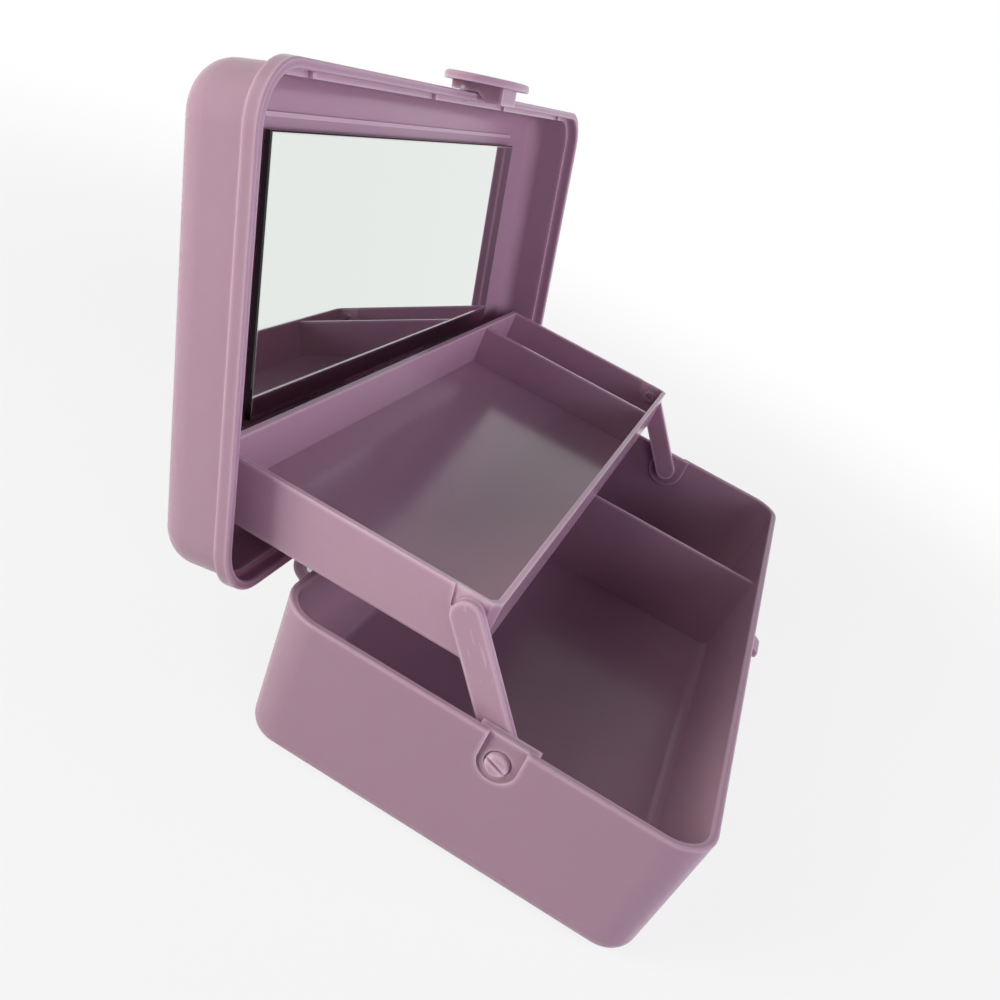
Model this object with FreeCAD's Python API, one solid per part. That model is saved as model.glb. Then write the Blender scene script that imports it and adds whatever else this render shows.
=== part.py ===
import FreeCAD, Part
import math
import os
from FreeCAD import Vector

os.makedirs("parts", exist_ok=True)

# A moulded vanity case: a tub, a mirrored lid on two rear hinges, a tray that is raised
# and carried level by the lid and two links, a front latch and a bail handle.
# Frame: origin at the centre of the tub's underside, +X along the width, +Y to the hinges,
# +Z up. The lid and what it carries are drawn closed, then turned open about the hinge.
# Lengths are millimetres and angles are degrees.

# ---- driving dimensions: tub ----
tub_width = 266.0
tub_depth = 127.0
tub_height = 46.0
tub_wall = 2.4
tub_floor = 3.2
tub_corner_radius = 13.0
tub_draft = 3.5
tub_foot_radius = 6.0
tub_inner_radius = 3.5
rim_bevel = 0.4
partition_x = 51.2
partition_thickness = 1.8
partition_below_rim = 6.5

# ---- driving dimensions: lid ----
lid_depth = 24.0
lid_wall = 2.6
lid_top_thickness = 1.9
lid_lap = 3.3
lid_lap_clearance = 0.35
lid_seat_gap = 0.3
lid_band_height = 4.2
lid_shoulder = 1.9
lid_ledge = 1.55
lid_ledge_depth = 4.5
lid_draft = 3.0
lid_edge_radius = 9.0
lid_inner_radius = 6.4
lid_open_angle = 104.0

# ---- driving dimensions: hinges ----
hinge_behind_rim = 4.65
hinge_below_rim = 8.35
hinge_pin_radius = 1.4
hinge_barrel_radius = 3.3
hinge_inset = 32.8
hinge_ear_radius = 5.4
hinge_ear_rim_gap = 0.4
hinge_ear_width = 5.5
hinge_knuckle_width = 15.5
hinge_side_gap = 0.5
hinge_gusset_drop = 11.0
running_clearance = 0.05

# ---- driving dimensions: mirror ----
mirror_width = 197.6
mirror_thickness = 1.8
mirror_pad_thickness = 1.3
mirror_pad_width = 30.0
mirror_pad_inset = 14.0
mirror_edge_from_front = 17.8
mirror_edge_from_back = 37.1
mirror_rib_gap = 3.0
mirror_rib_width = 1.2
mirror_rib_height = 1.0

# ---- driving dimensions: tray ----
tray_side_gap = 7.8
tray_front_gap = 13.1
tray_pivot_from_back = 3.45
tray_height = 19.0
tray_rim_above_pivot = 5.8
tray_wall = 1.8
tray_floor = 1.6
tray_draft = 1.2
tray_rear_radius = 2.0
tray_front_chamfer = 2.8
tray_foot_radius = 1.2
tray_partition_x = 82.0
tray_partition_thickness = 1.6
tray_partition_below_rim = 0.8
tray_recess_depth = 0.7
tray_recess_length = 12.8
tray_recess_knee = (5.2, -0.6)
tray_recess_tuck = (2.6, -1.6)
tray_stub_radius = 2.0
tray_stub_length = 4.6

# ---- driving dimensions: tray links ----
link_foot_below_rim = 7.9
link_span = 38.4
link_open_tilt = 51.3
link_half_width = 4.4
link_thickness = 2.8
link_edge_bevel = 0.4
link_head_from_front = 6.4
link_side_gap = 0.3
link_washer_radius = 3.6
link_head_stud_radius = 2.2
link_head_cap_radius = 2.75
link_head_cap_thickness = 1.6
link_foot_stud_radius = 2.3
link_foot_cap_radius = 3.25
link_foot_cap_thickness = 2.0
stud_cap_radius = 0.7
stud_slot_width = 0.9
stud_slot_depth = 1.1
stud_slot_angle = 20.0
cap_gap = 0.2

# ---- driving dimensions: stud pockets of the tub ----
pocket_radius = 5.5
pocket_depth = 1.5
pocket_bore_radius = 3.75
pocket_bore_depth = 0.6
pad_radius = 8.5
pad_to_link_gap = 0.45

# ---- driving dimensions: catch and latch ----
catch_width = 10.0
catch_reach = 4.5
catch_top_below_rim = 4.4
catch_nose_below_rim = 6.9
catch_foot_below_rim = 9.0
catch_nose_radius = 0.8
latch_half_width = 27.0
latch_half_height = 12.0
latch_middle_below_lid_rim = 0.6
latch_thickness = 2.4
latch_edge_radius = 1.0
latch_end_fullness = 1.25
latch_standoff = 2.9
latch_pivot_above_lid_rim = 5.4
latch_pivot_from_plate = 1.9
latch_pin_radius = 0.65
latch_eye_radius = 1.25
latch_lug_radius = 1.6
latch_gap = 0.3
latch_cheek_thickness = 1.7
latch_cheek_above_lid_rim = 9.4
latch_cheek_knee = 2.8
latch_lip_thickness = 2.2
hook_gap = 0.3
hook_catch_gap = 0.4
hook_wall_gap = 0.6
latch_swing = 35.0

# ---- driving dimensions: carrying handle ----
handle_half_width = 56.4
handle_reach = 35.0
handle_grip_width = 11.0
handle_arm_width = 6.0
handle_thickness = 7.4
handle_outer_radius = 15.0
handle_inner_radius = 8.0
handle_edge_radius = 2.6
handle_lid_gap = 0.6
handle_pivot_y = -4.0
handle_pivot_radius = 2.0
handle_stub_length = 3.4
handle_side_gap = 0.4
handle_lug_width = 4.4
handle_lug_radius = 3.7
handle_lug_foot = 7.0
finger_dish_length = 74.0
finger_dish_width = 24.0
finger_dish_depth = 0.8

# ---- driving dimensions: tabs in the lid that the tub's rim meets ----
seat_tab_inset = 25.0
seat_tab_inner_x = 32.7
seat_tab_width = 1.6

# ---- places worked out from the sizes above ----
EPS = 0.01
X_AXIS = Vector(1, 0, 0)
hinge_y = tub_depth / 2 + hinge_behind_rim
hinge_z = tub_height - hinge_below_rim
hinge_point = Vector(0, hinge_y, hinge_z)
lid_rim_z = tub_height + lid_seat_gap - lid_lap
lid_top_z = lid_rim_z + lid_depth
lid_ledge_z = lid_rim_z + lid_ledge_depth
lid_inner_z = lid_top_z - lid_top_thickness
lid_half_x = tub_width / 2 + lid_lap_clearance + lid_wall
lid_half_y = tub_depth / 2 + lid_lap_clearance + lid_wall
lid_radius = tub_corner_radius + lid_lap_clearance + lid_wall
lid_shoulder_z = lid_rim_z + lid_band_height
lid_body_y = lid_half_y - lid_shoulder
hinge_outer_x = tub_width / 2 - hinge_inset
tray_half_width = tub_width / 2 - tray_side_gap
link_lean = math.radians(link_open_tilt)
link_vector = Vector(0, link_span * math.cos(link_lean), link_span * math.sin(link_lean))
link_vector_closed = FreeCAD.Rotation(X_AXIS, lid_open_angle).multVec(link_vector)
tray_front_closed = -(tub_depth / 2 - tub_wall) + tray_front_gap
mirror_height = 2 * lid_half_y - mirror_edge_from_front - mirror_edge_from_back
link_foot = Vector(0, tray_front_closed + link_head_from_front - link_vector_closed.y,
                   tub_height - link_foot_below_rim)
link_head = link_foot + link_vector
tray_pivot = hinge_point + link_vector
tray_front_y = link_head.y - link_head_from_front
tray_back_y = tray_pivot.y + tray_pivot_from_back
tray_top_z = tray_pivot.z + tray_rim_above_pivot
tray_bottom_z = tray_top_z - tray_height
link_inner_x = tray_half_width + link_side_gap
link_outer_x = link_inner_x + link_thickness
pocket_floor_x = tub_width / 2 - pocket_depth
pad_face_x = link_outer_x + pad_to_link_gap


def closed_to_open(shape):
    """Turn a shape drawn on the closed case with the lid to its open place."""
    turned = shape.copy()
    turned.rotate(hinge_point, X_AXIS, -lid_open_angle)
    return turned


def closed_to_open_point(point):
    """The place on the open case of a point given on the closed one."""
    turn = FreeCAD.Rotation(X_AXIS, -lid_open_angle)
    return hinge_point + turn.multVec(point - hinge_point)


def open_to_closed(point):
    """The place on the closed case of a point given on the open one."""
    turn = FreeCAD.Rotation(X_AXIS, lid_open_angle)
    return hinge_point + turn.multVec(point - hinge_point)


def rounded_rectangle(half_x, half_y, radius, z, centre_y=0.0):
    """A closed wire: four sides joined by four quarter circles."""
    corners = []
    for sx, sy in ((1, 1), (-1, 1), (-1, -1), (1, -1)):
        centre = Vector(sx * (half_x - radius), centre_y + sy * (half_y - radius), z)
        start, end = Vector(sx * radius, 0, 0), Vector(0, sy * radius, 0)
        if sx != sy:
            start, end = end, start
        corners.append((centre + start, centre + (start + end) * math.sqrt(0.5), centre + end))
    edges = []
    for index, corner in enumerate(corners):
        edges.append(Part.Arc(*corner).toShape())
        edges.append(Part.makeLine(corner[2], corners[(index + 1) % len(corners)][0]))
    return Part.Wire(edges)


def drafted_block(half_x, half_y, radius, z_wide, z_narrow, draft, centre_y=0.0):
    """A moulded block: full size at z_wide, drawn in by the draft at z_narrow."""
    inset = abs(z_wide - z_narrow) * math.tan(math.radians(draft))
    wide = rounded_rectangle(half_x, half_y, radius, z_wide, centre_y)
    narrow = rounded_rectangle(half_x - inset, half_y - inset, radius - inset, z_narrow, centre_y)
    wires = [narrow, wide] if z_narrow < z_wide else [wide, narrow]
    return Part.makeLoft(wires, True, True)


def edges_at_z(shape, z):
    """The edges that lie wholly in one level plane."""
    found = []
    for edge in shape.Edges:
        box = edge.BoundBox
        if abs(box.ZMin - z) < EPS and abs(box.ZMax - z) < EPS:
            found.append(edge)
    return found


def outline_prism(points, x_low, x_high):
    """A prism along X from an outline of (y, z) points."""
    wire = Part.makePolygon([Vector(x_low, y, z) for y, z in points + [points[0]]])
    return Part.Face(wire).extrude(Vector(x_high - x_low, 0, 0))


def x_cylinder(radius, x_low, x_high, centre):
    """A round bar along X through a (y, z) centre."""
    return Part.makeCylinder(radius, x_high - x_low, Vector(x_low, centre.y, centre.z), X_AXIS)


def tangent_point(corner, centre, radius, side):
    """Where a line from a corner touches a circle; side is +1 or -1."""
    dy = corner.y - centre.y
    dz = corner.z - centre.z
    spread = math.acos(radius / math.hypot(dy, dz))
    angle = math.atan2(dz, dy) + side * spread
    return (centre.y + radius * math.cos(angle), centre.z + radius * math.sin(angle))


def mirrored(shape):
    """The same shape on the other side of the case."""
    return shape.mirror(Vector(0, 0, 0), X_AXIS)


def both_sides(shape):
    """A shape and its mirror image, for pairs at the two ends of the case."""
    return shape, mirrored(shape)


def tub_half_y_at(z):
    """Outer half depth of the tub at a height."""
    return tub_depth / 2 - (tub_height - z) * math.tan(math.radians(tub_draft))


def tub_half_x_at(z):
    """Outer half width of the tub at a height."""
    return tub_width / 2 - (tub_height - z) * math.tan(math.radians(tub_draft))


def make_tub_shell():
    """Drafted tub with a rounded foot, an inner fillet and a bevelled rim."""
    outer = drafted_block(tub_width / 2, tub_depth / 2, tub_corner_radius, tub_height, 0, tub_draft)
    outer = outer.makeFillet(tub_foot_radius, edges_at_z(outer, 0))
    above = 1.0
    spread = above * math.tan(math.radians(tub_draft))
    cavity = drafted_block(tub_width / 2 - tub_wall + spread, tub_depth / 2 - tub_wall + spread,
                           tub_corner_radius - tub_wall + spread, tub_height + above, tub_floor,
                           tub_draft)
    cavity = cavity.makeFillet(tub_inner_radius, edges_at_z(cavity, tub_floor))
    shell = outer.cut(cavity)
    shell = shell.makeChamfer(rim_bevel, edges_at_z(shell, tub_height))
    return shell, cavity


def make_partition(cavity):
    """The tub's upright wall between the wide and the narrow compartment."""
    top = tub_height - partition_below_rim
    slab = Part.makeBox(partition_thickness, tub_depth, top,
                        Vector(partition_x - partition_thickness / 2, -tub_depth / 2, EPS))
    slab = slab.makeFillet(partition_thickness / 3, edges_at_z(slab, top + EPS)[:4])
    grown = drafted_block(tub_width / 2 - tub_wall / 2, tub_depth / 2 - tub_wall / 2,
                          tub_corner_radius - tub_wall / 2, tub_height, tub_floor / 2, tub_draft)
    return slab.common(grown)


def shield(radius, x_low, x_high, top_z):
    """An upright tongue with a round foot about the link's lower stud."""
    y, z = link_foot.y, link_foot.z
    tongue = Part.makeBox(x_high - x_low, 2 * radius, top_z - z, Vector(x_low, y - radius, z))
    below_rim = Part.makeBox(x_high - x_low, 2 * radius, top_z, Vector(x_low, y - radius, 0))
    foot = x_cylinder(radius, x_low, x_high, link_foot).common(below_rim)
    return tongue.fuse(foot).removeSplitter()


def make_tub():
    """The tub with its partition, stud pockets, catch and hinge ears, as one moulding."""
    shell, cavity = make_tub_shell()
    tub = shell.fuse(make_partition(cavity))
    inner_wall_x = tub_half_x_at(link_foot.z - pad_radius) - tub_wall
    for pad in both_sides(shield(pad_radius, pad_face_x, inner_wall_x + tub_wall / 2, tub_height)):
        tub = tub.fuse(pad)
    above = 1.0
    for pocket in both_sides(shield(pocket_radius, pocket_floor_x, tub_width, tub_height + above)):
        tub = tub.cut(pocket)
    sink = x_cylinder(pocket_bore_radius, pocket_floor_x - pocket_bore_depth, tub_width, link_foot)
    bore = x_cylinder(link_foot_stud_radius + running_clearance, pad_face_x - above, tub_width,
                      link_foot)
    for cut in both_sides(sink) + both_sides(bore):
        tub = tub.cut(cut)
    tub = tub.fuse(make_catch())
    for ear in make_hinge_ears():
        tub = tub.fuse(ear)
    for pin_bore in both_sides(x_cylinder(hinge_pin_radius + running_clearance,
                                          hinge_inner_x() - above, hinge_outer_x + above,
                                          hinge_point)):
        tub = tub.cut(pin_bore)
    return tub.removeSplitter()


def make_catch():
    """The nub on the front wall: a sloped top to ride over and a flat underside to hold."""
    top_z = tub_height - catch_top_below_rim
    nose_z = tub_height - catch_nose_below_rim
    foot_z = tub_height - catch_foot_below_rim
    inside_y = -tub_half_y_at(foot_z) + tub_wall / 2
    nose_y = -tub_depth / 2 - catch_reach
    outline = [(inside_y, top_z), (-tub_half_y_at(top_z), top_z), (nose_y, nose_z),
               (nose_y, foot_z), (inside_y, foot_z)]
    catch = outline_prism(outline, -catch_width / 2, catch_width / 2)
    nose_edges = []
    for edge in catch.Edges:
        if edge.BoundBox.YMax < nose_y + EPS:
            nose_edges.append(edge)
    return catch.makeFillet(catch_nose_radius, nose_edges)


def hinge_inner_x():
    """Inner end of a hinge, measured from the middle of the case."""
    return hinge_outer_x - 2 * hinge_ear_width - hinge_knuckle_width - 2 * hinge_side_gap


def make_hinge_ears():
    """Two gusseted ears at each hinge, fused to the tub's rear wall."""
    wall_y = tub_half_y_at(hinge_z - hinge_gusset_drop) - tub_wall / 2
    foot = Vector(0, wall_y, hinge_z - hinge_gusset_drop)
    touch = tangent_point(foot, hinge_point, hinge_ear_radius, 1)
    top_z = lid_rim_z - hinge_ear_rim_gap
    outline = [(wall_y, foot.z), touch, (hinge_y, hinge_z), (hinge_y, top_z), (wall_y, top_z)]
    ears = []
    for x_low in (hinge_inner_x(), hinge_outer_x - hinge_ear_width):
        web = outline_prism(outline, x_low, x_low + hinge_ear_width)
        ear = web.fuse(x_cylinder(hinge_ear_radius, x_low, x_low + hinge_ear_width, hinge_point))
        ears.extend(both_sides(ear.removeSplitter()))
    return ears


def make_hinge_pin():
    """The right hinge's steel pin, with bevelled ends."""
    pin = x_cylinder(hinge_pin_radius, hinge_inner_x(), hinge_outer_x, hinge_point)
    return pin.makeChamfer(hinge_pin_radius / 4, [pin.Edges[0], pin.Edges[2]])


def make_lid_blank():
    """The lid's stepped shell: a band that laps over the tub's rim and a drawn-in body."""
    band = drafted_block(lid_half_x, lid_half_y, lid_radius, lid_rim_z, lid_shoulder_z, 0)
    band = band.makeChamfer(rim_bevel, edges_at_z(band, lid_shoulder_z))
    body = drafted_block(lid_half_x - lid_shoulder, lid_body_y, lid_radius - lid_shoulder,
                         lid_shoulder_z, lid_top_z, lid_draft)
    body = body.makeFillet(lid_edge_radius, edges_at_z(body, lid_top_z))
    blank = band.fuse(body)
    throat = drafted_block(lid_half_x - lid_wall, lid_half_y - lid_wall, lid_radius - lid_wall,
                           lid_rim_z - 1, lid_ledge_z, 0)
    inset = lid_wall + lid_ledge
    hollow = drafted_block(lid_half_x - inset, lid_half_y - inset, lid_radius - inset,
                           lid_ledge_z, lid_inner_z, lid_draft)
    hollow = hollow.makeFillet(lid_inner_radius, edges_at_z(hollow, lid_inner_z))
    blank = blank.cut(throat).cut(hollow).removeSplitter()
    return blank.makeChamfer(rim_bevel, edges_at_z(blank, lid_rim_z))


def lid_inner_half_x(z):
    """Inner half width of the lid at a height above the ledge, lid closed."""
    rise = z - lid_ledge_z
    return lid_half_x - lid_wall - lid_ledge - rise * math.tan(math.radians(lid_draft))


def make_tray_boss():
    """The right tray boss in the lid: a round post from the side wall."""
    centre = open_to_closed(tray_pivot)
    face_x = tray_half_width + link_side_gap
    post = x_cylinder(tray_stub_radius * 2, face_x, lid_inner_half_x(centre.z) + lid_wall / 2, centre)
    return post, x_cylinder(tray_stub_radius + running_clearance, face_x - EPS,
                            face_x + tray_stub_length, centre)


def make_seat_tab(x):
    """A small block across the lid's front ledge, which the tub's rim meets."""
    deep = lid_wall / 2
    front_y = -(lid_half_y - lid_wall) - deep
    width = lid_ledge + deep
    return Part.makeBox(seat_tab_width, width, lid_ledge_z - lid_rim_z - lid_lap + deep,
                        Vector(x - seat_tab_width / 2, front_y, lid_rim_z + lid_lap))


def latch_plate_y():
    """The latch plate's inner face, lid closed."""
    return -(lid_half_y + latch_standoff)


def latch_pivot():
    """Middle of the latch's pivot line, lid closed."""
    return Vector(0, latch_plate_y() + latch_pivot_from_plate, lid_rim_z + latch_pivot_above_lid_rim)


def latch_cheek_inner_x():
    """Inner face of a latch cheek: the catch passes between the two."""
    return catch_width / 2 + hook_gap


def make_latch_lug():
    """The lug on the lid's front wall that carries the latch between its cheeks."""
    pivot = latch_pivot()
    half = latch_cheek_inner_x() - latch_gap
    inside_y = -lid_body_y + lid_wall / 2
    low_z = lid_shoulder_z - EPS
    outline = [(inside_y, low_z), (-lid_body_y - lid_shoulder / 2, low_z),
               (pivot.y, pivot.z - latch_lug_radius),
               (pivot.y, pivot.z + latch_lug_radius), (inside_y, pivot.z + latch_lug_radius)]
    lug = outline_prism(outline, -half, half)
    return lug.fuse(x_cylinder(latch_lug_radius, -half, half, pivot))


def make_hinge_knuckle():
    """The right hinge knuckle and the arm that joins it to the lid's rear band."""
    x_low = hinge_inner_x() + hinge_ear_width + hinge_side_gap
    x_high = x_low + hinge_knuckle_width
    root_top = Vector(0, lid_half_y - lid_wall / 2, lid_shoulder_z - rim_bevel)
    touch = tangent_point(root_top, hinge_point, hinge_barrel_radius, -1)
    outline = [(root_top.y, root_top.z), (lid_half_y, root_top.z), touch, (hinge_y, hinge_z),
               (hinge_y - hinge_barrel_radius, hinge_z), (root_top.y, lid_rim_z + EPS)]
    arm = outline_prism(outline, x_low, x_high)
    return arm.fuse(x_cylinder(hinge_barrel_radius, x_low, x_high, hinge_point)).removeSplitter()


def handle_pivot():
    """Middle of the handle's pivot line, lid closed."""
    return Vector(0, handle_pivot_y, lid_top_z + handle_lid_gap + handle_thickness / 2)


def handle_hang_angle():
    """How far the handle swings off the leaning lid to hang plumb."""
    return lid_open_angle - 90


def handle_lug_outer_x():
    """Outer face of a handle lug, measured from the middle of the case."""
    return handle_half_width - handle_arm_width - handle_side_gap


def make_handle_lug():
    """The right lug on the lid's top that carries one end of the handle."""
    pivot = handle_pivot()
    x_high = handle_lug_outer_x()
    x_low = x_high - handle_lug_width
    root_z = lid_top_z - lid_top_thickness / 2
    outline = [(pivot.y - handle_lug_foot, root_z), (pivot.y + handle_lug_foot, root_z),
               (pivot.y + handle_lug_foot, lid_top_z),
               tangent_point(Vector(0, pivot.y + handle_lug_foot, lid_top_z), pivot,
                             handle_lug_radius, 1),
               (pivot.y, pivot.z),
               tangent_point(Vector(0, pivot.y - handle_lug_foot, lid_top_z), pivot,
                             handle_lug_radius, -1),
               (pivot.y - handle_lug_foot, lid_top_z)]
    lug = outline_prism(outline, x_low, x_high)
    lug = lug.fuse(x_cylinder(handle_lug_radius, x_low, x_high, pivot))
    bore = x_cylinder(handle_pivot_radius + running_clearance, x_high - handle_stub_length - EPS,
                      x_high + 1, pivot)
    return lug.removeSplitter(), bore


def make_finger_dish():
    """A shallow round-ended dish in the lid's top under the handle's grip."""
    grip_y = handle_pivot_y + handle_reach - handle_grip_width / 2
    half = finger_dish_width / 2
    outline = rounded_rectangle(finger_dish_length / 2, half, half - EPS,
                                lid_top_z - finger_dish_depth, grip_y)
    dish = Part.Face(outline).extrude(Vector(0, 0, 2 * finger_dish_depth))
    return dish.makeChamfer(finger_dish_depth * 0.8, edges_at_z(dish, lid_top_z - finger_dish_depth))


def make_mirror_rib(front):
    """A low rib along one long edge of the mirror, on the lid's inner face."""
    middle = mirror_middle_y()
    offset = mirror_height / 2 + mirror_rib_gap + mirror_rib_width / 2
    y = middle - offset if front else middle + offset
    return Part.makeBox(mirror_width, mirror_rib_width, mirror_rib_height + EPS,
                        Vector(-mirror_width / 2, y - mirror_rib_width / 2,
                               lid_inner_z - mirror_rib_height))


def make_lid():
    """The lid shell with bosses, lugs, knuckles, tabs and ribs, as one moulding."""
    lid = make_lid_blank()
    added = [make_mirror_rib(True), make_mirror_rib(False)]
    added += [make_latch_lug()]
    for x in (seat_tab_inner_x, tub_width / 2 - seat_tab_inset):
        added.extend(both_sides(make_seat_tab(x)))
    boss, boss_bore = make_tray_boss()
    handle_lug, handle_bore = make_handle_lug()
    for piece in (boss, make_hinge_knuckle(), handle_lug):
        added.extend(both_sides(piece))
    for piece in added:
        lid = lid.fuse(piece)
    lug_span = latch_cheek_inner_x()
    bores = [x_cylinder(latch_pin_radius + running_clearance, -lug_span, lug_span, latch_pivot()),
             make_finger_dish()]
    pin_bore = x_cylinder(hinge_pin_radius + running_clearance, hinge_inner_x(), hinge_outer_x,
                          hinge_point)
    for bore in (boss_bore, handle_bore, pin_bore):
        bores.extend(both_sides(bore))
    for bore in bores:
        lid = lid.cut(bore)
    return closed_to_open(lid.removeSplitter())


def mirror_middle_y():
    """Middle of the mirror front to back, lid closed."""
    return (mirror_edge_from_front - mirror_edge_from_back) / 2


def make_mirror():
    """The plain glass mirror, with a fine bevel round its face."""
    face_z = lid_inner_z - mirror_pad_thickness - mirror_thickness
    glass = Part.makeBox(mirror_width, mirror_height, mirror_thickness,
                         Vector(-mirror_width / 2, mirror_middle_y() - mirror_height / 2, face_z))
    glass = glass.makeChamfer(rim_bevel, edges_at_z(glass, face_z))
    return closed_to_open(glass)


def make_mirror_pads():
    """Two adhesive pads that hold the mirror to the lid."""
    pads = []
    for side in (-1, 1):
        x = side * (mirror_width / 2 - mirror_pad_inset - mirror_pad_width / 2)
        length = mirror_height - 2 * mirror_pad_inset
        pads.append(Part.makeBox(mirror_pad_width, length, mirror_pad_thickness,
                                 Vector(x - mirror_pad_width / 2, mirror_middle_y() - length / 2,
                                        lid_inner_z - mirror_pad_thickness)))
    return closed_to_open(Part.makeCompound(pads))


def tray_outline(inset, z):
    """The tray's plan: bevelled front corners and rounded rear corners."""
    half = tray_half_width - inset
    front = tray_front_y + inset
    back = tray_back_y - inset
    bevel = tray_front_chamfer - inset * (2 - math.sqrt(2))
    radius = max(tray_rear_radius - inset, 0.3)
    bend = radius * (1 - math.sqrt(0.5))
    right = Part.Arc(Vector(half, back - radius, z), Vector(half - bend, back - bend, z),
                     Vector(half - radius, back, z)).toShape()
    left = Part.Arc(Vector(-half + radius, back, z), Vector(-half + bend, back - bend, z),
                    Vector(-half, back - radius, z)).toShape()
    corners = [Vector(-half, front + bevel, z), Vector(-half + bevel, front, z),
               Vector(half - bevel, front, z), Vector(half, front + bevel, z)]
    edges = [right, Part.makeLine(right.Vertexes[1].Point, left.Vertexes[0].Point), left,
             Part.makeLine(left.Vertexes[1].Point, corners[0])]
    for start, end in zip(corners[:-1], corners[1:]):
        edges.append(Part.makeLine(start, end))
    edges.append(Part.makeLine(corners[3], right.Vertexes[0].Point))
    return Part.Wire(Part.__sortEdges__(edges))


def tray_block(inset, z_low, z_high):
    """A drafted solid of the tray's plan, full size at its top."""
    drop = tray_top_z - z_low
    low_inset = inset + drop * math.tan(math.radians(tray_draft))
    high_inset = inset - (z_high - tray_top_z) * math.tan(math.radians(tray_draft))
    return Part.makeLoft([tray_outline(low_inset, z_low), tray_outline(high_inset, z_high)], True, True)


def make_tray_recess():
    """The cutter for the shallow recess that the link's head turns in."""
    clear = 1.0
    back_y = tray_front_y + tray_recess_length
    knee, tuck = [(link_head.y + y, link_head.z + z) for y, z in (tray_recess_knee, tray_recess_tuck)]
    front_y = tray_front_y - clear
    run = tuck[0] - front_y
    outline = [(front_y, tray_top_z + clear), (back_y, tray_top_z + clear), (back_y, tray_top_z),
               knee, tuck, (front_y, tuck[1] - run * math.tan(link_lean))]
    floor_x = tray_half_width - tray_recess_depth
    round_end = x_cylinder(link_washer_radius + link_side_gap, floor_x, tray_half_width + clear, link_head)
    return outline_prism(outline, floor_x, tray_half_width + clear).fuse(round_end)


def make_tray():
    """The tray with its partition, link recesses, stud holes and rear stubs."""
    outer = tray_block(0, tray_bottom_z, tray_top_z)
    for recess in both_sides(make_tray_recess()):
        outer = outer.cut(recess)
    outer = outer.makeFillet(tray_foot_radius, edges_at_z(outer, tray_bottom_z))
    hollow = tray_block(tray_wall, tray_bottom_z + tray_floor, tray_top_z + 1)
    tray = outer.cut(hollow)
    wall = Part.makeBox(tray_partition_thickness, tray_back_y - tray_front_y - tray_wall,
                        tray_height - tray_partition_below_rim - tray_floor / 2,
                        Vector(tray_partition_x - tray_partition_thickness / 2,
                               tray_front_y + tray_wall / 2, tray_bottom_z + tray_floor / 2))
    tray = tray.fuse(wall)
    stub = x_cylinder(tray_stub_radius, tray_half_width - tray_wall, tray_half_width + tray_stub_length,
                      tray_pivot)
    stub = stub.makeChamfer(tray_stub_radius / 5, [max(stub.Edges, key=lambda e: e.BoundBox.XMin)])
    hole = x_cylinder(link_head_stud_radius + running_clearance, tray_half_width - 2 * tray_wall,
                      tray_half_width + 1, link_head)
    for piece in both_sides(stub):
        tray = tray.fuse(piece)
    for piece in both_sides(hole):
        tray = tray.cut(piece)
    return tray.removeSplitter()


def stud_slot(x, centre):
    """The cutter of the slot that lets a snap stud's cap close up."""
    length = 4 * link_foot_cap_radius
    slot = Part.makeBox(2 * stud_slot_depth, length, stud_slot_width,
                        Vector(x - stud_slot_depth, centre.y - length / 2,
                               centre.z - stud_slot_width / 2))
    slot.rotate(Vector(x, centre.y, centre.z), X_AXIS, stud_slot_angle)
    return slot


def cap_with_round_edge(radius, thickness, x_face, direction, centre):
    """A stud's cap: a short disc whose outer edge is rounded."""
    x_low, x_high = sorted((x_face, x_face + direction * thickness))
    cap = x_cylinder(radius, x_low, x_high, centre)
    outer_x = x_face + direction * thickness
    rims = [e for e in cap.Edges if abs(e.BoundBox.XMin - outer_x) + abs(e.BoundBox.XMax - outer_x) < EPS]
    return cap.makeFillet(stud_cap_radius, rims)


def make_link():
    """The right link: a round-ended strip with a snap stud at each end, on opposite faces."""
    along = link_vector / link_vector.Length
    across = X_AXIS.cross(along) * link_half_width
    low, high = link_foot, link_head
    offset = Vector(link_inner_x, 0, 0)
    edges = [Part.makeLine(low + across + offset, high + across + offset),
             Part.Arc(high + across + offset, high + along * link_half_width + offset,
                      high - across + offset).toShape(),
             Part.makeLine(high - across + offset, low - across + offset),
             Part.Arc(low - across + offset, low - along * link_half_width + offset,
                      low + across + offset).toShape()]
    strip = Part.Face(Part.Wire(edges)).extrude(Vector(link_thickness, 0, 0))
    outer = [e for e in strip.Edges if e.BoundBox.XMin > link_outer_x - EPS]
    strip = strip.makeChamfer(link_edge_bevel, outer)
    washer_face = tray_half_width - tray_recess_depth + cap_gap
    strip = strip.fuse(x_cylinder(link_washer_radius, washer_face, link_inner_x, high))
    cap_x = tray_half_width - tray_wall - (tray_top_z - high.z) * math.tan(math.radians(tray_draft))
    cap_x -= cap_gap
    strip = strip.fuse(x_cylinder(link_head_stud_radius, cap_x, washer_face, high))
    cap = cap_with_round_edge(link_head_cap_radius, link_head_cap_thickness, cap_x, -1, high)
    strip = strip.fuse(cap.cut(stud_slot(cap_x - link_head_cap_thickness, high)))
    sink_x = pocket_floor_x - pocket_bore_depth + cap_gap
    strip = strip.fuse(x_cylinder(link_foot_stud_radius, link_outer_x, sink_x, low))
    foot_cap = cap_with_round_edge(link_foot_cap_radius, link_foot_cap_thickness, sink_x, 1, low)
    return strip.fuse(foot_cap.cut(stud_slot(sink_x + link_foot_cap_thickness, low))).removeSplitter()


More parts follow.
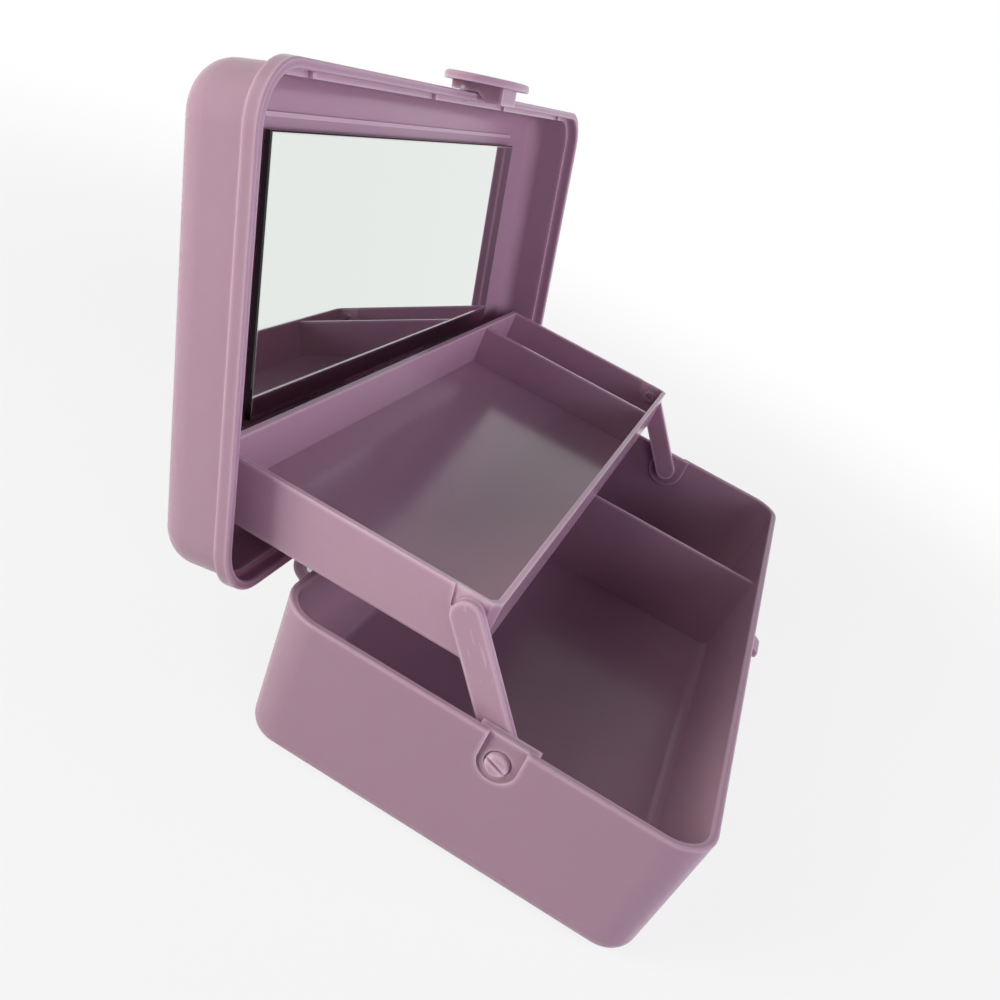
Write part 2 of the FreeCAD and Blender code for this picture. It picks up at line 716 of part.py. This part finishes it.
def oval(half_long, half_short):
    """A closed wire of four arcs: two flat flanks joined by two rounder ends."""
    end_radius = half_short * half_short / half_long * latch_end_fullness
    end_x = half_long - end_radius
    flank_radius = (end_x ** 2 + half_short ** 2 - end_radius ** 2) / (2 * (half_short - end_radius))
    drop = flank_radius - half_short
    reach = flank_radius / math.hypot(end_x, drop)
    join_x, join_y = end_x * reach, drop * reach - drop
    edges = []
    for side in (1, -1):
        edges.append(Part.Arc(Vector(side * join_x, side * join_y, 0), Vector(0, side * half_short, 0),
                              Vector(-side * join_x, side * join_y, 0)).toShape())
        edges.append(Part.Arc(Vector(-side * join_x, side * join_y, 0),
                              Vector(-side * half_long, 0, 0),
                              Vector(-side * join_x, -side * join_y, 0)).toShape())
    return Part.Wire(edges)


def make_latch_plate():
    """The latch's oval thumb plate with a rounded outer edge."""
    plate = Part.Face(oval(latch_half_width, latch_half_height)).extrude(Vector(0, 0, latch_thickness))
    plate = plate.makeFillet(latch_edge_radius, edges_at_z(plate, latch_thickness))
    plate.rotate(Vector(0, 0, 0), X_AXIS, 90)
    plate.translate(Vector(0, latch_plate_y(), lid_rim_z - latch_middle_below_lid_rim))
    return plate


def make_latch():
    """The latch: plate, two cheeks that turn on the pin, and a lip that closes under the catch."""
    root_y = latch_plate_y() - latch_thickness / 2
    lip_top = tub_height - catch_foot_below_rim - hook_catch_gap
    lip_low = lip_top - latch_lip_thickness
    upper_y = -(lid_half_y + latch_gap)
    lower_y = -(tub_depth / 2 + hook_wall_gap)
    cheek_x = latch_cheek_inner_x()
    outer_x = cheek_x + latch_cheek_thickness
    cheek_top = lid_rim_z + latch_cheek_above_lid_rim
    outline = [(root_y, lip_low), (lower_y, lip_low), (lower_y, lid_rim_z - latch_cheek_knee),
               (upper_y, lid_rim_z), (upper_y, cheek_top), (root_y, cheek_top)]
    eye = x_cylinder(latch_eye_radius, cheek_x, outer_x, latch_pivot())
    cheek = outline_prism(outline, cheek_x, outer_x).fuse(eye)
    lip = Part.makeBox(2 * outer_x, lower_y - root_y, latch_lip_thickness, Vector(-outer_x, root_y, lip_low))
    latch = make_latch_plate()
    for piece in both_sides(cheek) + (lip,):
        latch = latch.fuse(piece)
    bore_x = outer_x + latch_gap
    bore = x_cylinder(latch_pin_radius + running_clearance, -bore_x, bore_x, latch_pivot())
    return closed_to_open(latch.cut(bore).removeSplitter())


def make_latch_pin():
    """The latch's steel pin, flush with the outer faces of the cheeks."""
    half = latch_cheek_inner_x() + latch_cheek_thickness
    return closed_to_open(x_cylinder(latch_pin_radius, -half, half, latch_pivot()))


def make_handle():
    """The bail handle: a flat U with rounded edges and two stubs that turn in the lugs."""
    pivot = handle_pivot()
    back_y = pivot.y + handle_reach
    front_y = pivot.y - handle_arm_width * 0.75
    outer = rounded_rectangle(handle_half_width, (back_y - front_y) / 2, handle_outer_radius,
                              lid_top_z + handle_lid_gap, (back_y + front_y) / 2)
    body = Part.Face(outer).extrude(Vector(0, 0, handle_thickness))
    inner_half = handle_half_width - handle_arm_width
    inner_back = back_y - handle_grip_width
    depth = inner_back - front_y
    inner = rounded_rectangle(inner_half, depth, handle_inner_radius, lid_top_z, inner_back - depth)
    window = Part.Face(inner).extrude(Vector(0, 0, 2 * handle_thickness))
    trim = Part.makeBox(4 * handle_half_width, handle_outer_radius, 4 * handle_thickness,
                        Vector(-2 * handle_half_width, front_y - handle_outer_radius + EPS, lid_top_z))
    body = body.cut(window)
    low_z = lid_top_z + handle_lid_gap
    rims = edges_at_z(body, low_z) + edges_at_z(body, low_z + handle_thickness)
    body = body.makeFillet(handle_edge_radius, rims).cut(trim)
    stub_x = handle_lug_outer_x() - handle_stub_length
    stub = x_cylinder(handle_pivot_radius, stub_x, inner_half + handle_arm_width / 2, pivot)
    for piece in both_sides(stub):
        body = body.fuse(piece)
    folded = closed_to_open(body.removeSplitter())
    hanging = folded.copy()
    hanging.rotate(closed_to_open_point(pivot), X_AXIS, handle_hang_angle())
    return hanging


def export(name, shape):
    """Write one node's STEP file and print what it holds."""
    shape.exportStep("parts/%s.step" % name)
    box = shape.BoundBox
    print("%-16s solids %d valid %s volume %8.0f  x %.1f..%.1f y %.1f..%.1f z %.1f..%.1f"
          % (name, len(shape.Solids), shape.isValid(), shape.Volume, box.XMin, box.XMax,
             box.YMin, box.YMax, box.ZMin, box.ZMax))


right_link = make_link()
right_hinge_pin = make_hinge_pin()
export("base_tub", make_tub())
export("lid_shell", make_lid())
export("mirror", make_mirror())
export("mirror_pads", make_mirror_pads())
export("tray", make_tray())
export("right_link", right_link)
export("left_link", mirrored(right_link))
export("right_hinge_pin", right_hinge_pin)
export("left_hinge_pin", mirrored(right_hinge_pin))
export("latch", make_latch())
export("latch_pin", make_latch_pin())
export("carry_handle", make_handle())
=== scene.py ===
# %% [markdown]
# # A cosmetic case with a raising tray
# This lesson gives a modelled case its finishes, its floor, its light and its camera. The case's
# solids come from its maker's source, as a frame that stays where it is. The tub is divided in
# two, the lid carries a mirror, and a shallow tray rides between them on two links.
# Loading the frame first means that every later size can be read from it.

# %% Load the case
import math
import bpy
from mathutils import Matrix, Vector


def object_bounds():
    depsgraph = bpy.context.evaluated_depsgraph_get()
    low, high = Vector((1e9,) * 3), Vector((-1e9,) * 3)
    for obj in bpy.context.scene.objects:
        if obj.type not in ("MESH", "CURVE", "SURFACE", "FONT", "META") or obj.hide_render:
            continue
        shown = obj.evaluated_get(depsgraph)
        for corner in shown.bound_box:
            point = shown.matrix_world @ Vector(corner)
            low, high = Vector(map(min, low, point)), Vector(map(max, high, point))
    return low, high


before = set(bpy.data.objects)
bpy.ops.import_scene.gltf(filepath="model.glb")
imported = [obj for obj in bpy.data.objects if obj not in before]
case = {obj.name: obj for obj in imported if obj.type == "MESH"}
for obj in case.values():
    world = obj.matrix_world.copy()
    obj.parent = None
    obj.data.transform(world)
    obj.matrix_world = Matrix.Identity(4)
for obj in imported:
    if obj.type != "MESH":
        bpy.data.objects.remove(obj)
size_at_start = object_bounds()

print("pieces of the case:", ", ".join(sorted(case)))

# %% [markdown]
# ## Sums on sockets
# A finish is a sheet of shader nodes, and most of those nodes are plain sums. They could be
# added and joined one by one, but a small class that wraps one socket lets them be written as
# Python sums, so that a line reads as the idea does. Each sum also works with a plain number on
# its left, as in 1 - mask.


# %% A wire that takes part in sums
class Wire:
    """One socket's value: sums on it add Math nodes to the finish it belongs to."""

    def __init__(self, finish, socket):
        self.finish = finish
        self.socket = socket

    def sum(self, operation, first, second):
        return self.finish.node("ShaderNodeMath", {"operation": operation}, {0: first, 1: second})

    def __add__(self, other):
        return self.sum("ADD", self, other)

    def __radd__(self, other):
        return self.sum("ADD", other, self)

    def __sub__(self, other):
        return self.sum("SUBTRACT", self, other)

    def __rsub__(self, other):
        return self.sum("SUBTRACT", other, self)

    def __mul__(self, other):
        return self.sum("MULTIPLY", self, other)

    def __rmul__(self, other):
        return self.sum("MULTIPLY", other, self)

    def __gt__(self, other):
        return self.sum("GREATER_THAN", self, other)

    def __lt__(self, other):
        return self.sum("LESS_THAN", self, other)


print("sums are ready: +, -, *, > and < on a wire add Math nodes")

# %% [markdown]
# ## A finish, and any node in it
# Every other node comes from one method. It takes the node's type, its settings, which are set
# first, and then the values or the wires of its sockets, and it gives back one outlet as a wire.
# The same class serves a piece's material and the surroundings, because both are node sheets.


# %% A finish being made
class Finish:
    """A material or a world being made, with one method that adds any node to it."""

    def __init__(self, owner):
        owner.use_nodes = True
        self.owner = owner
        self.tree = owner.node_tree
        self.tree.nodes.clear()

    def node(self, kind, settings=None, sockets=None, outlet=0):
        made = self.tree.nodes.new(kind)
        for name, value in (settings or {}).items():
            setattr(made, name, value)
        for name, value in (sockets or {}).items():
            if isinstance(value, Wire):
                self.tree.links.new(value.socket, made.inputs[name])
            else:
                made.inputs[name].default_value = value
        return Wire(self, made.outputs[outlet]) if made.outputs else None


print("a finish adds any node with one method")

# %% [markdown]
# ## Colours
# A colour is easiest to choose from the usual 0 to 255 values, but a shader works with amounts
# of light, so one helper turns the first into the second. Colours can't go through Math nodes,
# which would turn them grey, so a second helper blends two of them with a Mix node.

# %% Colours
first_colour, second_colour, mixed_colour = 6, 7, 2  # the Mix node's places for colours


def shade(red, green, blue, tone=1.0):
    """A colour in the renderer's own linear scale; tone multiplies its light."""
    linear = []
    for value in (red, green, blue):
        part = value / 255
        light = part / 12.92 if part <= 0.04045 else ((part + 0.055) / 1.055) ** 2.4
        linear.append(light * tone)
    return (*linear, 1.0)


def blended(finish, share, colour, other):
    """One colour where share is 0, and the other where it is 1."""
    return finish.node("ShaderNodeMix", {"data_type": "RGBA"},
                       {"Factor": share, first_colour: colour, second_colour: other},
                       outlet=mixed_colour)


print("mid grey as an amount of light:", round(shade(128, 128, 128)[0], 3))

# %% [markdown]
# ## Noise, relief and thin edges
# Three helpers serve several finishes. The first is a noise whose scale is the number of its
# features in a metre. The second turns a height into relief, which tips the light and leaves the
# shape alone.
# The third finds thin rims and outward corners, where the finishes paint a pale line as a painted
# highlight. A ray that starts under a broad wall's skin and goes inwards meets nothing near,
# while one that starts under a corner or in a thin rim soon meets the other side. The Ambient
# Occlusion node can look inwards like that, so the edges are found without painting a mask, and
# inward corners don't count. It looks at the piece's own surfaces only, so a neighbour that comes
# near in another pose changes nothing.


# %% Noise, relief and thin edges
def noise(finish, where, per_metre, detail):
    """A smooth noise from 0 to 1, with this many features in a metre."""
    return finish.node("ShaderNodeTexNoise", {},
                       {"Vector": where, "Scale": per_metre, "Detail": detail})


def relief(finish, height, depth, strength):
    """The surface's direction as a height of this depth would tip it."""
    return finish.node("ShaderNodeBump", {},
                       {"Strength": strength, "Distance": depth, "Height": height})


def thin_edges(finish, reach, samples, gain):
    """1 in thin rims and at outward corners, and 0 further than reach from them."""
    open_inside = finish.node("ShaderNodeAmbientOcclusion",
                              {"inside": True, "only_local": True, "samples": samples},
                              {"Distance": reach}, outlet="AO")
    return finish.node("ShaderNodeClamp", {}, {"Value": (1 - open_inside) * gain})


print("three helpers are ready: noise, relief, thin_edges")

# %% [markdown]
# ## Moulded plastic
# The case is moulded from one mauve plastic with a satin shine. Up close such a surface isn't
# even. The colour drifts a little where the melt met, the shine changes with handling, and the
# polished tool leaves a fine grain and a slow waviness that bends reflections. Light goes a few
# millimetres in, so thin rims look paler than broad walls. Thin rims and outward corners are also
# painted paler, as a painted highlight where rounded edges catch the light. There are a few small
# dark specks, and the links, which are rubbed at each opening, have pale scuffs along them.
# An image could be painted for each moulding, but noises at the real scales look right from any
# distance and need no unwrapping. First come the measures of it all, in metres or in features
# to the metre.

# %% The plastic's colours and noises
melt_colour = (190, 155, 172)
drift_colour = (184, 149, 169)
drifts_per_metre = 14.0
handling_per_metre = 55.0
grains_per_metre = 1900.0

# painted highlight: thin rims and outward corners are painted paler where rounded edges catch the
# light; the same pale colour is also the scuffs' colour
edge_highlight_and_scuff_colour = (226, 197, 211)
edge_reach = 0.0014
edge_samples = 8
edge_gain = 2.0
edge_highlight_share = 0.85

print("edges are paler within", round(edge_reach * 1000, 1), "mm of a corner")

# %% The plastic's marks
scuffs_per_metre = 1100.0
scuff_stretch = 14.0
scuff_tilt = math.radians(51.3)  # how steeply the links stand when the case is open
scuff_rarity = 0.62
handled_enough = 0.50

speck_colour = (74, 50, 62)
specks_per_metre = 70.0
speck_radius = 0.022  # as a share of the space from one speck to the next
speck_areas_per_metre = 23.0
speck_rarity = 0.55
speck_strength = 0.35

print("a scuff is about", round(1000 * scuff_stretch / scuffs_per_metre), "mm long")

# %% The plastic's shine, relief and depth
shine_change = 0.10
wave_height = 0.35
handling_height = 0.05
grain_height = 0.012
plastic_relief_depth = 0.0012
plastic_relief_strength = 0.35

plastic_refraction = 1.49
light_that_enters = 0.4
light_spread = 0.003
light_spread_by_colour = (1.0, 0.6, 0.85)

print("light spreads", round(light_spread * 1000, 1), "mm under the skin")

# %% [markdown]
# ## The plastic recipe
# The recipe lays one change over another: drift, pale edges that are a painted highlight, scuffs
# where a moulding has them, and specks. All the mouldings share it. Each came from its own mould,
# so each gets its own tone and shine, and a seed moves its noises along so that no two pieces have
# the same marks.


# %% The plastic recipe
def scuffed(finish, colour, other, moved, handling, strength):
    """The colour with scuffs of the other along the links, where hands have been."""
    along = finish.node("ShaderNodeMapping", {"vector_type": "TEXTURE"},
                        {"Vector": moved, "Rotation": (scuff_tilt, 0.0, 0.0),
                         "Scale": (1.0, scuff_stretch, 1.0)})
    streaks = noise(finish, along, scuffs_per_metre, detail=2.0)
    rubbed = (streaks > scuff_rarity) * (handling > handled_enough) * strength
    return blended(finish, rubbed, colour, other)


def specked(finish, colour, moved):
    """The colour with small dark specks, in some areas only."""
    from_speck = finish.node("ShaderNodeTexVoronoi", {},
                             {"Vector": moved, "Scale": specks_per_metre}, outlet="Distance")
    areas = noise(finish, moved, speck_areas_per_metre, detail=2.0)
    specks = (from_speck < speck_radius) * (areas > speck_rarity) * speck_strength
    return blended(finish, specks, colour, shade(*speck_colour))


def mauve_plastic(name, tone=1.0, shine=0.24, gloss=0.3, scuffs=0.0, seed=0.0):
    """Satin mauve plastic; tone lightens it and seed moves its marks along."""
    finish = Finish(bpy.data.materials.new(name))
    place = finish.node("ShaderNodeTexCoord", outlet="Object")
    moved = finish.node("ShaderNodeVectorMath", {"operation": "ADD"},
                        {0: place, 1: (seed, seed * 2, seed * 3)})
    drift = noise(finish, moved, drifts_per_metre, detail=3.0)
    handling = noise(finish, moved, handling_per_metre, detail=6.0)
    grain = noise(finish, moved, grains_per_metre, detail=2.0)

    highlight_and_scuff_pale = shade(*edge_highlight_and_scuff_colour, tone)
    edges = thin_edges(finish, edge_reach, edge_samples, edge_gain)
    colour = blended(finish, drift, shade(*melt_colour, tone), shade(*drift_colour, tone))
    # painted highlight: thin rims and outward corners are blended towards the pale colour
    colour = blended(finish, edges * edge_highlight_share, colour, highlight_and_scuff_pale)
    if scuffs:
        colour = scuffed(finish, colour, highlight_and_scuff_pale, moved, handling, scuffs)
    colour = specked(finish, colour, moved)

    height = drift * wave_height + handling * handling_height + grain * grain_height
    shader = finish.node("ShaderNodeBsdfPrincipled", {}, {
        "Base Color": colour,
        "Roughness": shine - shine_change / 2 + handling * shine_change,
        "Normal": relief(finish, height, plastic_relief_depth, plastic_relief_strength),
        "IOR": plastic_refraction, "Specular IOR Level": gloss,
        "Subsurface Weight": light_that_enters, "Subsurface Scale": light_spread,
        "Subsurface Radius": light_spread_by_colour})
    finish.node("ShaderNodeOutputMaterial", {}, {"Surface": shader})
    return finish.owner


print("the plastic recipe is ready")

# %% One plastic for each moulding
finishes = {
    "base_tub": mauve_plastic("tub plastic", tone=0.98, gloss=0.14, seed=0.0),
    "lid_shell": mauve_plastic("lid plastic", tone=1.04, gloss=0.2, seed=1.3),
    "tray": mauve_plastic("tray plastic", tone=1.16, shine=0.15, seed=2.1),
    "right_link": mauve_plastic("right link plastic", tone=1.14, scuffs=0.32, seed=3.7),
    "left_link": mauve_plastic("left link plastic", tone=1.14, scuffs=0.32, seed=4.2),
    "latch": mauve_plastic("latch plastic", tone=1.12, shine=0.34, seed=5.6),
    "carry_handle": mauve_plastic("handle plastic", seed=6.4),
}
print("mouldings with their plastic:", len(finishes))

# %% [markdown]
# ## Mirror glass
# The mirror is a cut plate of glass, silvered behind. Its face reflects almost everything, with a
# faint green. Its cut edges look nearly black, because light is lost inside the plate, and the
# sharp corner between the two was ground off, which leaves a narrow frosted line. That line is
# painted pale, partly as frosted glass and partly as a painted highlight where it catches the
# light.
# Three materials on three groups of faces could do it, but one that compares the surface's own
# direction with the plate's face direction needs no picking of faces. The helper for thin edges
# finds the ground line.

# %% The mirror's measures
silvered_colour = (228, 233, 229)
cut_edge_colour = (20, 22, 22)
# the frosted line's pale colour: partly frosted glass, partly a painted highlight
frost_and_highlight_colour = (214, 211, 200)
face_agreement = 0.9

ground_width = 0.0009
ground_samples = 6
ground_gain = 2.5
ground_roughness = 0.3
silver_lost_at_ground = 0.7

cut_edge_roughness = 0.06
silvered_smoothness = 0.05  # how much smoother the face is than a cut edge
hazes_per_metre = 40.0
haze_roughness = 0.006
print("the ground line is about", round(ground_width * 1000, 1), "mm wide")


# %% The mirror
def face_direction(node):
    """The direction of a thin plate's widest face, from its own mesh."""
    widest = max(case[node].data.polygons, key=lambda face: face.area)
    return widest.normal.copy()


def mirror_glass():
    """Silvered glass with dark cut edges, and a frosted line between them and the face."""
    finish = Finish(bpy.data.materials.new("mirror glass"))
    normal = finish.node("ShaderNodeTexCoord", outlet="Normal")
    along = finish.node("ShaderNodeVectorMath", {"operation": "DOT_PRODUCT"},
                        {0: normal, 1: face_direction("mirror")}, outlet="Value")
    face = along * along > face_agreement
    ground = thin_edges(finish, ground_width, ground_samples, ground_gain) * face
    place = finish.node("ShaderNodeTexCoord", outlet="Object")
    haze = noise(finish, place, hazes_per_metre, detail=5.0)

    colour = blended(finish, face, shade(*cut_edge_colour), shade(*silvered_colour))
    # the frosted line is painted pale, partly as frost and partly as a painted highlight
    colour = blended(finish, ground, colour, shade(*frost_and_highlight_colour))
    rough = (cut_edge_roughness - face * silvered_smoothness
             + haze * haze_roughness + ground * ground_roughness)
    shader = finish.node("ShaderNodeBsdfPrincipled", {}, {
        "Base Color": colour, "Roughness": rough,
        "Metallic": face - ground * silver_lost_at_ground})
    finish.node("ShaderNodeOutputMaterial", {}, {"Surface": shader})
    return finish.owner


finishes["mirror"] = mirror_glass()
print("the mirror faces", [round(part, 2) for part in face_direction("mirror")])

# %% [markdown]
# ## Foam tape
# Two pads of black adhesive foam hold the glass in the lid. They are hardly seen, and a plain
# black would do from afar, but up close foam shows its open cells. One fine noise gives them,
# as a rougher shine and as small dents.

# %% The foam tape
foam_colour = (30, 29, 31)
cells_per_metre = 2200.0
foam_roughness = 0.75
cell_roughness = 0.2
cell_depth = 0.0003
cell_strength = 0.5


def foam_tape():
    """Black adhesive foam behind the glass."""
    finish = Finish(bpy.data.materials.new("foam tape"))
    place = finish.node("ShaderNodeTexCoord", outlet="Object")
    cells = noise(finish, place, cells_per_metre, detail=3.0)
    shader = finish.node("ShaderNodeBsdfPrincipled", {}, {
        "Base Color": shade(*foam_colour), "Roughness": foam_roughness + cells * cell_roughness,
        "Normal": relief(finish, cells, cell_depth, cell_strength)})
    finish.node("ShaderNodeOutputMaterial", {}, {"Surface": shader})
    return finish.owner


finishes["mirror_pads"] = foam_tape()
print("foam cells are about", round(1000 / cells_per_metre, 2), "mm across")

# %% [markdown]
# ## Steel pins
# The hinges and the latch turn on pins cut from drawn steel wire. Drawing leaves a bright metal
# with long fine scratches, which show as streaks of light along it. A shader with a stretched
# shine could do it, but a noise that is stretched along the pins also shows up close. It gives
# both a change of shine and a very shallow relief.

# %% The steel pins
steel_colour = (196, 196, 198)
along_the_pins = (0.06, 1.0, 1.0)  # the pins lie along x, where the noise is stretched
scratches_per_metre = 9000.0
steel_roughness = 0.22
scratch_roughness = 0.16
scratch_depth = 0.00005
scratch_strength = 0.3


def drawn_steel():
    """Pins cut from drawn wire, with fine scratches along them."""
    finish = Finish(bpy.data.materials.new("drawn steel"))
    place = finish.node("ShaderNodeTexCoord", outlet="Object")
    stretched = finish.node("ShaderNodeVectorMath", {"operation": "MULTIPLY"},
                            {0: place, 1: along_the_pins})
    scratches = noise(finish, stretched, scratches_per_metre, detail=2.0)
    shader = finish.node("ShaderNodeBsdfPrincipled", {}, {
        "Base Color": shade(*steel_colour),
        "Roughness": steel_roughness + scratches * scratch_roughness,
        "Metallic": 1.0,
        "Normal": relief(finish, scratches, scratch_depth, scratch_strength)})
    finish.node("ShaderNodeOutputMaterial", {}, {"Surface": shader})
    return finish.owner


steel = drawn_steel()
for pin in ("left_hinge_pin", "right_hinge_pin", "latch_pin"):
    finishes[pin] = steel
print("steel pins:", sum(material is steel for material in finishes.values()))

# %% [markdown]
# ## Put the finishes on
# The pieces keep their shapes and their places, so giving one its finish only means putting the
# material into its slots.

# %% Finish every piece
for node, material in finishes.items():
    for held in case[node].material_slots:
        held.material = material
print("finished pieces:", len(finishes), "of", len(case))

# %% [markdown]
# ## Floor and surroundings
# A pale floor and a white surrounding keep the eye on the case. What the camera sees of them is
# plain white, and so is what the mirror and the plastic's gloss show of them. White from a strong
# light would burn out the case, so a Light Path node tells the rays that look from the rays that
# light the case, and only the first meet white. A ray that has left a dull surface is lighting
# it, so it never counts as looking. Otherwise the mirror would throw that white into the case
# like a lamp.
# Round the case the floor is partly real paper, so that the case's soft shadow stays. Further out
# the paper fades into the white, so that no horizon shows.


# %% A mask of the rays that look
def looking_rays(finish):
    """1 for rays from the camera, or seen in gloss or through glass, and 0 for rays of light."""
    path = {}
    for part in ("Is Camera Ray", "Is Glossy Ray", "Is Transmission Ray", "Diffuse Depth"):
        path[part] = finish.node("ShaderNodeLightPath", outlet=part)
    looking = path["Is Camera Ray"] + path["Is Glossy Ray"] + path["Is Transmission Ray"]
    return finish.node("ShaderNodeClamp", {}, {"Value": looking - path["Diffuse Depth"]})


print("rays that look are told from rays that light")

# %% The floor's sheet
low, high = [Vector(corner) for corner in size_at_start]
floor_reach = 6.0
floor_corners = [(-floor_reach, -floor_reach, low.z), (floor_reach, -floor_reach, low.z),
                 (floor_reach, floor_reach, low.z), (-floor_reach, floor_reach, low.z)]
floor_sheet = bpy.data.meshes.new("floor")
floor_sheet.from_pydata(floor_corners, [], [(0, 1, 2, 3)])
floor = bpy.data.objects.new("floor", floor_sheet)
bpy.context.scene.collection.objects.link(floor)
print("floor at height", round(low.z, 4))

# %% The floor's white card
card_colour = (244, 244, 244)
pure_white = (1, 1, 1, 1)
white_level = 1.0
shadow_starts_to_fade = 0.25
shadow_has_faded = 0.75
paper_share = 0.18
fibres_per_metre = 300.0
fibre_depth = 0.0005
fibre_strength = 0.1

card = Finish(bpy.data.materials.new("white card"))
place = card.node("ShaderNodeTexCoord", outlet="Object")
from_origin = card.node("ShaderNodeVectorMath", {"operation": "LENGTH"}, {0: place},
                        outlet="Value")
near = card.node("ShaderNodeMapRange", {"interpolation_type": "SMOOTHSTEP"},
                 {"Value": from_origin, "From Min": shadow_starts_to_fade,
                  "From Max": shadow_has_faded, "To Min": 1.0, "To Max": 0.0})
fibres = noise(card, place, fibres_per_metre, detail=3.0)
paper = card.node("ShaderNodeBsdfDiffuse", {}, {
    "Color": shade(*card_colour), "Normal": relief(card, fibres, fibre_depth, fibre_strength)})
plain_white = card.node("ShaderNodeEmission", {}, {"Color": pure_white, "Strength": white_level})
seen = card.node("ShaderNodeMixShader", {},
                 {"Fac": looking_rays(card) * (1 - near * paper_share), 1: paper, 2: plain_white})
card.node("ShaderNodeOutputMaterial", {}, {"Surface": seen})
floor_sheet.materials.append(card.owner)
print("the floor's shadow fades from", shadow_starts_to_fade, "to", shadow_has_faded, "m")

# %% The surroundings
sky_level = 0.08
sky_tint = (0.88, 0.80, 1.0, 1.0)
room = bpy.data.worlds.new("studio")
bpy.context.scene.world = room
studio = Finish(room)
soft = studio.node("ShaderNodeBackground", {}, {"Color": sky_tint, "Strength": sky_level})
white = studio.node("ShaderNodeBackground", {}, {"Color": pure_white, "Strength": white_level})
both = studio.node("ShaderNodeMixShader", {}, {"Fac": looking_rays(studio), 1: soft, 2: white})
studio.node("ShaderNodeOutputWorld", {}, {"Surface": both})
print("the surroundings light the case at", sky_level, "of white")

# %% [markdown]
# ## Lamps
# The case is lit as if it stood near a window, behind it on the left. That brightens its left
# sides and its rims, and lets the raised lid shade the tray and the tub, which shows how deep they
# are. Weaker lamps in front, on the left and on the right stand for the light that a room sends
# back. They are faintly violet and the window is faintly warm, so the shade is cooler than the
# light.
# Each lamp's power follows from its level, the share of a colour as written that a surface
# facing it shows. A surface shows all of it at pi x pi x distance x distance watts.
# Only the window's upper part shows in gloss. The others would lie as white squares in the mirror
# and burn out flat tops in some poses.

# %% Lamps by level
middle = (low + high) / 2


def soft_lamp(name, at, level, tint, width=0.50, shines=False):
    """A square lamp that faces the middle of the case; only one that shines shows in gloss."""
    away = Vector(at) - middle
    light = bpy.data.lights.new(name, "AREA")
    light.shape = "SQUARE"
    light.size = width
    light.energy = level * (math.pi * away.length) ** 2
    light.color = tint
    lamp = bpy.data.objects.new(name, light)
    lamp.location = at
    lamp.rotation_euler = (-away).to_track_quat("-Z", "Y").to_euler()
    lamp.visible_glossy = shines
    bpy.context.scene.collection.objects.link(lamp)
    return lamp


daylight = (1.0, 1.03, 0.94)
room_light = (0.98, 0.92, 1.07)
lamps = [
    soft_lamp("window, lower part", (-0.68, 0.71, 0.35), 0.52, daylight),
    soft_lamp("window, upper part", (-0.50, 0.53, 0.79), 0.15, daylight, shines=True),
    soft_lamp("front lamp", (0.00, -0.94, 0.35), 0.40, room_light),
    soft_lamp("left lamp", (-0.68, -0.65, 0.35), 0.13, room_light),
    soft_lamp("right lamp", (0.95, -0.25, 0.14), 0.24, room_light),
]
print("lamp watts:", {lamp.name: round(lamp.data.energy, 1) for lamp in lamps})

# %% [markdown]
# ## Camera
# The case is looked at from its left side and from above, close by, with the camera tipped over
# to one side. The camera could be set by eye, but its place, the point it looks at and its tip
# fix the view completely. The tip is a turn about the camera's own line of sight, so it is the
# last factor, after the aim.

# %% The camera
camera_at = Vector((-0.3228, -0.0075, 0.1933))
looks_at = Vector((-0.0365, 0.0360, 0.0571))
tip = math.radians(25.8)

view = bpy.data.cameras.new("camera")
view.lens = 34.08
view.sensor_width = 36.0
view.shift_x = -0.001
view.clip_start = 0.01
camera = bpy.data.objects.new("camera", view)
bpy.context.scene.collection.objects.link(camera)
aim = (looks_at - camera_at).to_track_quat("-Z", "Y").to_matrix().to_4x4()
camera.matrix_world = Matrix.Translation(camera_at) @ aim @ Matrix.Rotation(tip, 4, "Z")
bpy.context.scene.camera = camera
bpy.context.scene.view_settings.view_transform = "Standard"
print("the camera is", round((looks_at - camera_at).length, 3), "m from the point it looks at")
